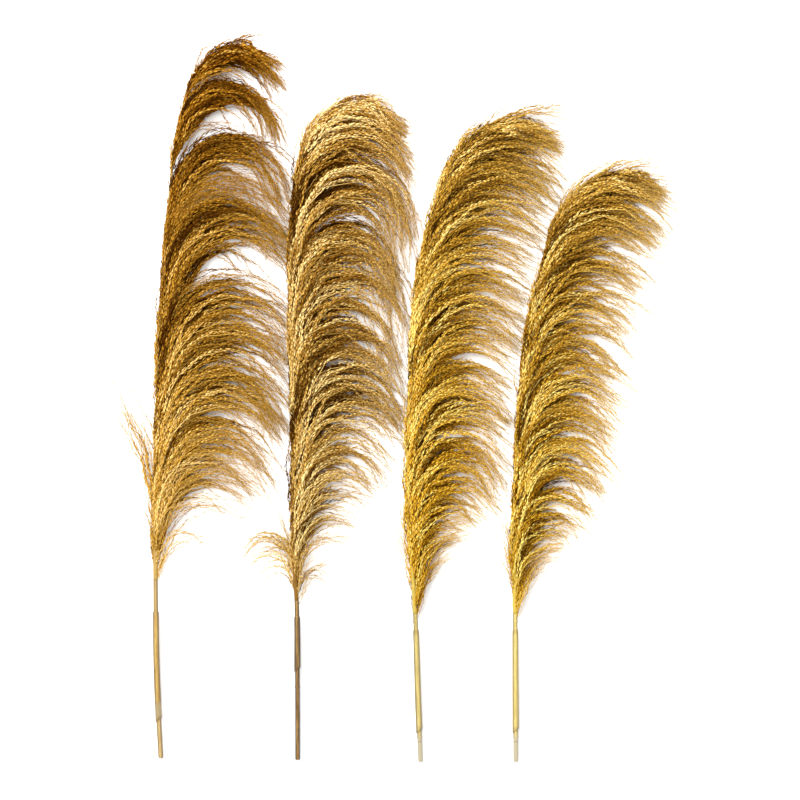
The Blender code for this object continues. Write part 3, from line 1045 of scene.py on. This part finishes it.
    def loose(self, wisp: Wisp) -> Strands:
        """A few strands on their own.

        Args:
            wisp: how they lie.

        Returns:
            The strands.
        """
        rng = self.random
        count = wisp.count
        middle = float(self.axis.height(self.axis.at(wisp.place)))
        return Strands(self.axis, wisp.place + rng.normal(0, self.wisp_place_spread, count),
                       wisp.reach * rng.uniform(*self.wisp_reaches, count),
                       wisp.leaving + rng.normal(0, self.wisp_leaving_spread, count),
                       wisp.droop + rng.normal(0, self.wisp_droop_spread, count),
                       lift=middle + rng.uniform(*self.wisp_lifts, count),
                       rest=rng.uniform(*self.wisp_rests, count),
                       aside=rng.normal(0, self.wisp_aside_spread, count),
                       tone=self.wisp_tone + self.wisp_tone_spread * rng.uniform(-1, 1, count), random=rng,
                       girth=self.wisp_girth)

    def loose_all(self, wisps: list[Wisp]) -> list[Surface]:
        """Surfaces of the loose strands of several wisps, two for each wisp."""
        return [surface for wisp in wisps for surface in self.loose(wisp).surfaces()]

    def other_side(self, left: Left) -> Strands:
        """Strands of the thin branch that falls to the other side.

        Args:
            left: where it roots and how it lies.

        Returns:
            The strands.
        """
        rng = self.random
        count = left.count
        place = left.places[0] + (left.places[1] - left.places[0]) * np.sqrt(rng.uniform(0, 1, count))
        reach = np.interp(place, left.places, left.reach) * rng.uniform(*self.left_reaches, count)
        droop = -np.interp(place, left.places, left.droop) + rng.normal(0, self.wisp_droop_spread, count)
        return Strands(self.axis, place, reach, rng.normal(*self.left_leaving, count), droop,
                       lift=rng.uniform(*self.left_lifts, count), rest=rng.uniform(*self.left_rests, count),
                       aside=rng.normal(0, self.left_aside_spread, count),
                       tone=self.wisp_tone + self.left_tone_spread * rng.uniform(-1, 1, count), random=rng,
                       girth=self.left_girth)


def revolved(axis: Axis, lengths: np.ndarray, radii: np.ndarray, sides: int, layers: dict) -> Surface:
    """A closed round surface along the axis.

    Corner k of a ring lies at the axis point plus the radius times the cosine of k shares of a full
    turn across the axis and the sine of them upwards; a fan closes each end.

    Args:
        axis: the plume's axis.
        lengths: place of each ring along it.
        radii: radius of each ring.
        sides: corners in a ring.
        layers: attribute values of each ring.

    Returns:
        The closed surface.
    """
    rows = len(lengths)
    points = axis.rings(np.repeat(lengths[:, None], sides, axis=1), np.repeat(radii[:, None], sides, axis=1),
                        np.arange(sides) * 2 * np.pi / sides)
    start = (np.arange(rows) * sides)[:, None]
    corner = np.arange(sides)
    after = (corner + 1) % sides
    ends = rows * sides + np.arange(2)
    foot = np.stack([np.full(sides, ends[0]), corner, after], axis=-1)
    top = np.stack([np.full(sides, ends[1]), start[-1] + after, start[-1] + corner], axis=-1)
    spread = {key: np.concatenate([np.repeat(value, sides), value[[0, -1]]]) for key, value in layers.items()}
    every = np.concatenate([points.reshape(-1, 3), axis.point(lengths[[0, -1]])])
    return Surface(every, np.concatenate([ring_faces(start[:-1], start[1:], sides), foot, top]), spread)


@dataclass
class Stem:
    """The bare culm of one plume and the leaf sheath round it.

    A swell or groove is given by its depth and its width, and the hollow of the cut foot by its rings'
    lengths along the stem and their radii.
    """

    form: PlumeForm
    axis: Axis
    culm_sides: int = 24
    culm_rings: int = 90
    culm_foot: float = 0.0004
    node_half: float = 0.006
    node_rings: int = 21
    node_swell: tuple = (0.0005, 0.0024)
    node_groove: tuple = (0.0004, 0.0009)
    node_groove_below: float = 0.0034
    hollow_lengths: tuple = (0.006, 0.0, 0.0)
    hollow_radii: tuple = (0.0017, 0.0019, 0.0036)
    sheath_sides: int = 36
    sheath_rows: int = 24
    sheath_radii: tuple = (0.0054, 0.0050)
    sheath_wall: float = 0.0004
    sheath_slant: float = 0.004
    sheath_tears: tuple = (0.0012, 0.0008)
    sheath_rib: float = 0.00008
    mouth_power: float = 1.5
    made: list = field(default_factory=list)

    def marks(self, lengths: np.ndarray) -> dict[str, np.ndarray]:
        """Weathering and scars along the stem.

        A scar fades to both sides of its place as e to the power of minus the square of the distance in
        widths.

        Args:
            lengths: places along it.

        Returns:
            The two attributes.
        """
        scar = np.zeros_like(lengths)
        for place, width, depth in self.form.scars:
            scar = np.maximum(scar, depth * np.exp(-((lengths - place) / width) ** 2))
        return {"worn": on_curve(self.form.worn, lengths), "scar": scar}

    @staticmethod
    def side_shade_shares(sides: int, rings: int) -> np.ndarray:
        """Painted shade on the stem's sides: how far each corner of the rings lies to a side, the size of the
        cosine of its turn.
        """
        return np.tile(np.abs(np.cos(np.arange(sides) * 2 * np.pi / sides)), rings)

    def build(self) -> None:
        """Make the culm and the sheath, each in place of its node."""
        number = self.form.number
        self.made.append(piece(f"culm_{number}", [self.culm()], [self.form.culm.make()], f"stem_{number}"))
        self.made.append(piece(f"leaf_sheath_{number}", [self.sheath()], [self.form.leaf.make()],
                               f"sheath_{number}"))

    def culm(self) -> Surface:
        """The culm with its node swellings and hollow cut foot.

        At each node the radius grows and just under it shrinks, by e to the power of minus the square
        of the distance in widths. The first rings lead up inside the foot.

        Returns:
            The closed surface.
        """
        top = self.axis.start - PIECE_GAP
        near = np.linspace(-self.node_half, self.node_half, self.node_rings)
        lengths = np.unique(np.concatenate([np.linspace(self.culm_foot, top, self.culm_rings)]
                                           + [node + near for node in self.form.nodes]))
        radii = CULM_RADIUS * np.interp(lengths, (0, CULM_TAPER_START * top, top), (1.0, 1.0, CULM_TOP_SHARE))
        for node in self.form.nodes:
            radii = radii + self.node_swell[0] * np.exp(-((lengths - node) / self.node_swell[1]) ** 2)
            under = lengths - node + self.node_groove_below
            radii = radii - self.node_groove[0] * np.exp(-(under / self.node_groove[1]) ** 2)
        lengths = np.concatenate([self.hollow_lengths, lengths])
        radii = np.concatenate([self.hollow_radii, radii])
        culm = revolved(self.axis, lengths, radii, self.culm_sides, self.marks(lengths))
        # Painted shade towards the culm's sides
        culm.layers["side_shade"] = np.r_[self.side_shade_shares(self.culm_sides, len(lengths)), 0.0, 0.0]
        return culm

    def sheath(self) -> Surface:
        """A thin closed wall round the culm with a slanted, torn lower edge and a pointed mouth.

        The wall's rows run up its outside and down its inside. A row's length along the stem runs from
        the lower edge, which a cosine of the turn slants and two faster sines tear, to the mouth, which
        a power of its sine draws out into a point. A fast cosine of the turn ribs the outside.

        Returns:
            The closed surface.
        """
        low, mouth, tip = self.form.sheath
        turn = np.arange(self.sheath_sides) * 2 * np.pi / self.sheath_sides
        wide, small = self.sheath_tears
        tear = wide * np.sin(5 * turn + self.form.number) + small * np.sin(11 * turn)
        lower = low + self.sheath_slant * np.cos(turn) + tear
        upper = mouth + (tip - mouth) * np.maximum(0, np.sin(turn)) ** self.mouth_power
        share = np.linspace(0, 1, self.sheath_rows)
        out = lower[None] + (upper - lower)[None] * share[:, None]
        lengths = np.concatenate([out, out[::-1]])
        outer = np.interp(out, (low, mouth), self.sheath_radii) + self.sheath_rib * np.cos(9 * turn)[None]
        points = self.axis.rings(lengths, np.concatenate([outer, outer[::-1] - self.sheath_wall]), turn)
        start = (np.arange(2 * self.sheath_rows) * self.sheath_sides)[:, None]
        layers = self.marks(lengths.ravel())
        # Painted shade towards the sheath's sides
        layers["side_shade"] = self.side_shade_shares(self.sheath_sides, 2 * self.sheath_rows)
        faces = ring_faces(start, np.roll(start, -1, axis=0), self.sheath_sides)
        return Surface(above_floor(points.reshape(-1, 3)), faces, layers)

    def dress(self) -> None:
        """Say how many pieces the stem has."""
        log.info("stem %d: %d pieces", self.form.number, len(self.made))


@dataclass
class Head:
    """One plume's panicle: its axis with the strands that hug it, and its main branches.

    hugging is the number of strands round the axis, crown_gap the step from the last branch to the
    crown, and wads lie only under branches past under_place that are denser than under_density.
    """

    form: PlumeForm
    axis: Axis
    random: np.random.Generator
    rachis_rings: int = 120
    rachis_sides: int = 12
    rachis_taper: float = 0.78
    rachis_taper_power: float = 0.8
    rachis_tone: float = 0.66
    hugging: int = 66
    crown_gap: float = 0.02
    under_place: float = 0.06
    under_density: float = 0.5
    made: list = field(default_factory=list)

    def rachis(self) -> Surface:
        """The panicle's smooth axis, thinner than the strands' bundle that hides it.

        Its radius falls by a power of the place.

        Returns:
            The closed surface, with the finish of a bare stalk.
        """
        lengths = np.linspace(self.axis.start + PIECE_GAP, self.axis.length[-1], self.rachis_rings)
        place = (lengths - self.axis.start) / (self.axis.length[-1] - self.axis.start)
        radii = CULM_TOP_SHARE * CULM_RADIUS * (1.0 - self.rachis_taper * place**self.rachis_taper_power)
        none = np.zeros_like(lengths)
        stalk = revolved(self.axis, lengths, radii, self.rachis_sides,
                         {"tone": none + self.rachis_tone, "along": none, "rise": none})
        stalk.finish = 1
        return stalk

    def build(self) -> None:
        """Grow the strands of the axis and of every branch."""
        form = self.form
        number = form.number
        grower = Grower(form, self.axis, self.random)
        plumage = form.plumage.make()
        bare = (form.culm.edge, form.culm.middle)
        straw = Plumage(f"{form.plumage.name}_stalk", bare, bare, form.culm.middle, roughness=0.38,
                        stops=(0.3, self.rachis_tone)).make()
        outside = [wisp for wisp in form.wisps
                   if not any(first <= wisp.place <= last for first, last in form.tufts)]
        parts = [self.rachis(), *grower.hugging(self.hugging).surfaces(),
                 *grower.crown(form.tufts[-1][1] + self.crown_gap).surfaces(), *grower.loose_all(outside)]
        self.made.append(piece(f"panicle_axis_{number}", parts, [plumage, straw], f"axis_{number}"))
        for order, (first, last) in enumerate(form.tufts, start=1):
            middle = (first + last) / 2
            strands = grower.falling(first, last)
            branch = strands.surfaces()
            branch += grower.loose_all([wisp for wisp in form.wisps if first <= wisp.place <= last])
            if middle > self.under_place and on_curve(form.density, middle) > self.under_density:
                branch.append(strands.under())
            self.made.append(piece(f"branch_{number}_{order:02d}", branch, [plumage],
                                   f"tuft_{number}_{order:02d}"))
        if form.left:
            branch = grower.other_side(form.left).surfaces()
            self.made.append(piece(f"branch_{number}_left", branch, [plumage], f"tuft_{number}_left"))

    def dress(self) -> None:
        """Say how many triangles the head has."""
        total = sum(len(made.data.polygons) for made in self.made)
        log.info("head %d: %d pieces, %d triangles", self.form.number, len(self.made), total)


@dataclass
class Studio:
    """A plain pale floor, soft light and the camera straight above."""

    centre: tuple[float, float] = (0.0195, 0.0039)
    height: float = 4.037
    lens: float = 110.0
    film: float = 36.0
    floor_half: float = 6.0
    surround: float = 1.1
    key_place: tuple[float, float, float] = (-1.1, 1.4, 3.3)
    key_side: float = 2.2
    key_power: float = 168.0

    def build(self) -> None:
        """Make the floor, the surround and the light."""
        side = self.floor_half
        mesh = bpy.data.meshes.new("ground")
        mesh.from_pydata([(-side, -side, 0), (side, -side, 0), (side, side, 0), (-side, side, 0)], [],
                         [(0, 1, 2, 3)])
        mesh.materials.append(PaleGround().make())
        ground = bpy.data.objects.new("ground", mesh)
        bpy.context.scene.collection.objects.link(ground)
        world = bpy.data.worlds.new("surround")
        world.use_nodes = True
        background = world.node_tree.nodes["Background"]
        background.inputs["Color"].default_value = (1, 1, 1, 1)
        background.inputs["Strength"].default_value = self.surround
        bpy.context.scene.world = world
        light = bpy.data.lights.new("key", "AREA")
        light.size = self.key_side
        light.energy = self.key_power
        lamp = bpy.data.objects.new("key", light)
        lamp.location = self.key_place
        lamp.rotation_euler = (-Vector(self.key_place)).to_track_quat("-Z", "Y").to_euler()
        bpy.context.scene.collection.objects.link(lamp)

    def dress(self) -> None:
        """Place the camera above the bunch, with +Y up in its picture, and keep colours plain."""
        data = bpy.data.cameras.new("camera")
        data.lens = self.lens
        data.sensor_width = self.film
        data.clip_end = 50.0
        camera = bpy.data.objects.new("camera", data)
        camera.location = (*self.centre, self.height)
        bpy.context.scene.collection.objects.link(camera)
        bpy.context.scene.camera = camera
        bpy.context.scene.view_settings.view_transform = "Standard"


SPINE_A = ((0, 0), (-0.003, 0.062), (-0.006, 0.150), (-0.007, 0.294), (-0.008, 0.390), (-0.006, 0.520),
           (-0.001, 0.650), (0.006, 0.780), (0.015, 0.915), (0.031, 1.040), (0.054, 1.118), (0.088, 1.163),
           (0.128, 1.178))
SPINE_B = ((0, 0), (0, 0.130), (-0.001, 0.264), (-0.006, 0.350), (-0.007, 0.480), (-0.009, 0.620),
           (-0.011, 0.760), (-0.010, 0.880), (0, 0.975), (0.022, 1.040), (0.058, 1.072), (0.104, 1.086))
SPINE_C = ((0, 0), (-0.004, 0.100), (-0.009, 0.245), (-0.013, 0.310), (-0.020, 0.390), (-0.021, 0.490),
           (-0.019, 0.600), (-0.014, 0.700), (-0.003, 0.800), (0.014, 0.885), (0.036, 0.955), (0.066, 1.010),
           (0.104, 1.042), (0.146, 1.055))
SPINE_D = ((0, 0), (-0.001, 0.120), (-0.002, 0.245), (-0.004, 0.360), (-0.002, 0.453), (0.003, 0.555),
           (0.011, 0.647), (0.024, 0.739), (0.041, 0.817), (0.062, 0.881), (0.091, 0.930), (0.128, 0.959),
           (0.168, 0.970))
REACH_A = (0.150, 0.240, 0.310, 0.300, 0.304, 0.310, 0.232, 0.172, 0.065)
REACH_B = (0.100, 0.155, 0.240, 0.280, 0.320, 0.345, 0.242, 0.165, 0.080)
REACH_C = (0.105, 0.165, 0.238, 0.258, 0.266, 0.284, 0.240, 0.178, 0.085)
REACH_D = (0.097, 0.152, 0.220, 0.238, 0.246, 0.262, 0.222, 0.165, 0.078)
DROOP_A = (110, 145, 150, 135, 138, 157, 160, 148, 120)
DROOP_B = (95, 122, 140, 158, 174, 184, 146, 126, 150)
DROOP_C = (45, 126, 146, 132, 123, 126, 131, 116, 108)
TUFTS_A = ((0.00, 0.05), (0.07, 0.14), (0.16, 0.26), (0.28, 0.33), (0.35, 0.39), (0.445, 0.555),
           (0.62, 0.68), (0.76, 0.83), (0.875, 0.925))
TUFTS_B = ((0.00, 0.05), (0.07, 0.12), (0.14, 0.20), (0.22, 0.32), (0.34, 0.425), (0.455, 0.51),
           (0.525, 0.578), (0.605, 0.635), (0.66, 0.705), (0.74, 0.86))
TUFTS_C = ((0.00, 0.05), (0.08, 0.15), (0.17, 0.24), (0.26, 0.31), (0.33, 0.375), (0.395, 0.46),
           (0.48, 0.56), (0.58, 0.635), (0.665, 0.73), (0.75, 0.81), (0.84, 0.885))

WISPS_A = (Wisp(0.015, 0.15, 1, 5, 14), Wisp(0.05, 0.15, 3, 10, 14), Wisp(0.03, 0.12, -3, -4, 8),
           Wisp(0.30, 0.10, -6, -2, 2), Wisp(0.20, 0.13, -10, -30, 2), Wisp(0.88, 0.08, -4, 22, 2),
           Wisp(1.0, 0.05, 0, 80, 4), Wisp(0.595, 0.315, 10, 148, 30), Wisp(0.575, 0.32, 11, 146, 22),
           Wisp(0.735, 0.20, 10, 125, 6), Wisp(0.414, 0.28, 6, 132, 14), Wisp(0.85, 0.14, 8, 120, 16),
           Wisp(0.08, 0.30, 14, 138, 12), Wisp(0.045, 0.26, 14, 132, 5), Wisp(0.045, 0.13, 20, 135, 3),
           Wisp(0.13, 0.30, 14, 130, 12), Wisp(0.18, 0.34, 12, 132, 14), Wisp(0.24, 0.35, 10, 138, 12),
           Wisp(0.31, 0.34, 10, 128, 6))
WISPS_B = (Wisp(0.02, 0.10, 14, 150, 4), Wisp(1.0, 0.080, -4, 160, 5), Wisp(0.45, 0.10, -8, 0, 3),
           Wisp(0.93, 0.12, -3, 128, 6), Wisp(0.03, 0.12, 6, 20, 8), Wisp(0.03, 0.12, -5, -8, 8))
WISPS_C = (Wisp(0.05, 0.09, -10, -18, 2), Wisp(0.13, 0.07, -10, -10, 2), Wisp(0.03, 0.13, -7, -6, 6),
           Wisp(0.07, 0.13, -6, -4, 6), Wisp(1.0, 0.11, -4, 86, 3), Wisp(0.93, 0.10, 0, 60, 3),
           Wisp(0.80, 0.13, -5, 58, 6), Wisp(0.86, 0.11, -4, 66, 6), Wisp(0.94, 0.18, 2, 98, 7),
           Wisp(0.84, 0.24, 6, 108, 7), Wisp(0.74, 0.262, 8, 112, 7))
WISPS_D = (Wisp(0.05, 0.08, -10, -16, 2), Wisp(0.13, 0.06, -10, -10, 2), Wisp(0.03, 0.12, -7, -4, 6),
           Wisp(0.07, 0.12, -6, -2, 6), Wisp(1.0, 0.08, -4, 78, 3), Wisp(0.93, 0.09, 0, 60, 3),
           Wisp(0.80, 0.12, -5, 60, 6), Wisp(0.86, 0.10, -4, 68, 6), Wisp(0.90, 0.165, 4, 106, 7),
           Wisp(0.82, 0.21, 6, 110, 7), Wisp(0.74, 0.24, 8, 114, 7))

# What the two golden plumes on the right share
GOLDEN = {
    "collar": 0.245, "droop": DROOP_C, "tufts": TUFTS_C, "sheath": (0.052, 0.215, 0.225),
    "nodes": (0.040, 0.232), "density": ((0.02, 1.9), (0.12, 1.0)), "fray": 0.24, "bare": 0.09,
    "margin": ((0.0, 0.0095), (1.0, 0.0095)), "worn": ((0.0, 0.95), (0.036, 0.85), (0.050, 0.2), (1.0, 0.0)),
    "scars": ((0.053, 0.0010, 0.7), (0.216, 0.0014, 0.6), (0.034, 0.0008, 0.5)),
}

PLUMES = (
    PlumeForm(
        number=1, foot=(-0.3751, -0.5863), spine=SPINE_A, collar=0.294, reach=REACH_A, droop=DROOP_A,
        tufts=TUFTS_A, sheath=(0.064, 0.241, 0.244), nodes=(0.090,), slot=Slot.AMBER,
        plumage=Plumage("plumage_amber", ("#4C2903", "#936414", "#DCAB43", "#FDDA88"),
                        ("#482402", "#7A4503", "#B57812", "#E2AC45"), "#D2A748"),
        culm=DryCulm("dry_culm_1", "#8E7440", "#A98C52", "#BBA268", "#928465", "#66491E"),
        leaf=DryCulm("dry_sheath_1", "#8A6B32", "#A8863D", "#BA9B50", "#90805E", "#60431A"),
        left=Left((0.10, 0.14), (0.180, 0.235), (26, 38), 9), wisps=WISPS_A,
        shade=((0.0, 0.10), (0.05, 0.40), (0.12, 0.42), (0.25, 0.20), (0.45, 0.03), (1.0, 0.0)),
        density=((0.03, 0.34), (0.06, 1.0)), margin=((0.40, 0.008), (0.43, 0.003), (1.0, 0.003)),
        gather=((0.36, 0.25), (0.45, 0.85)), gather_from=0.0, lock_share=0.35,
        worn=((0.0, 0.1), (0.062, 0.15), (0.066, 0.8), (0.088, 0.9), (0.094, 0.1), (1.0, 0.0)),
        scars=((0.0645, 0.0012, 0.8), (0.242, 0.0012, 0.8), (0.092, 0.0010, 0.35)),
    ),
    PlumeForm(
        number=2, foot=(-0.1494, -0.5893), spine=SPINE_B, collar=0.264, reach=REACH_B, droop=DROOP_B,
        tufts=TUFTS_B, sheath=(0.150, 0.236, 0.240), nodes=(0.120,), slot=Slot.TAUPE,
        plumage=Plumage("plumage_taupe", ("#4A2B04", "#946823", "#DDB35C", "#FFE39A"),
                        ("#4A2703", "#935E09", "#D9A545", "#FFE096"), "#E1BE73"),
        culm=DryCulm("dry_culm_2", "#5A3E14", "#7A5826", "#9E7A40", "#726142", "#241804", roughness=0.28),
        leaf=DryCulm("dry_sheath_2", "#553B14", "#715323", "#90703A", "#726142", "#241804", roughness=0.34),
        left=Left((0.00, 0.07), (0.075, 0.160), (130, 142), 16), wisps=WISPS_B,
        shade=((0.0, 0.10), (0.05, 0.30), (0.2, 0.20), (0.35, 0.08), (0.7, 0.10), (0.85, 0.36), (1.0, 0.42)),
        density=((0.03, 0.5), (0.06, 0.9), (0.3, 1.0)), scars=((0.152, 0.0012, 0.25), (0.120, 0.0010, 0.3)),
    ),
    PlumeForm(
        number=3, foot=(0.0534, -0.5923), spine=SPINE_C, reach=REACH_C, slot=Slot.GOLD,
        plumage=Plumage("plumage_gold", ("#4D2C02", "#A87306", "#EDB930", "#FFE574"),
                        ("#4D300A", "#9A6E24", "#D8A845", "#FFE08C"), "#E9CB7A"),
        culm=DryCulm("dry_culm_3", "#9A8538", "#B49C4A", "#CBB76A", "#A39A82", "#665312"),
        leaf=DryCulm("dry_sheath_3", "#9A863A", "#B59E4C", "#CBB86C", "#A39A82", "#665414"), wisps=WISPS_C,
        shade=((0.0, 0.0), (0.05, 0.06), (0.12, 0.18), (0.35, 0.26), (0.5, 0.15), (0.7, 0.09), (0.85, 0.08),
               (1.0, 0.16)), **GOLDEN,
    ),
    PlumeForm(
        number=4, foot=(0.2106, -0.5923), spine=SPINE_D, reach=REACH_D, slot=Slot.STRAW,
        plumage=Plumage("plumage_straw", ("#4D2C02", "#AA7507", "#EDBB34", "#FFE77A"),
                        ("#4D300A", "#9C6F26", "#DAAA48", "#FFE190"), "#E9CD80"),
        culm=DryCulm("dry_culm_4", "#A28C3A", "#BCA44A", "#D2BC68", "#A69D86", "#6E5A16"),
        leaf=DryCulm("dry_sheath_4", "#A8903C", "#C2AA4E", "#D8C470", "#A69D86", "#725E16"), wisps=WISPS_D,
        shade=((0.0, 0.0), (0.05, 0.10), (0.12, 0.22), (0.35, 0.20), (0.5, 0.12), (0.7, 0.05), (0.85, 0.08),
               (1.0, 0.16)), **GOLDEN,
    ),
)


def main() -> None:
    """Build the studio and the four plumes in order."""
    logging.basicConfig(level=logging.INFO, format="%(message)s")
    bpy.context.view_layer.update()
    studio = Studio()
    studio.build()
    for form in PLUMES:
        axis = Axis(form)
        stem = Stem(form, axis)
        stem.build()
        stem.dress()
        head = Head(form, axis, np.random.default_rng(40 + form.number))
        head.build()
        head.dress()
    studio.dress()


if __name__ == "__main__":
    main()
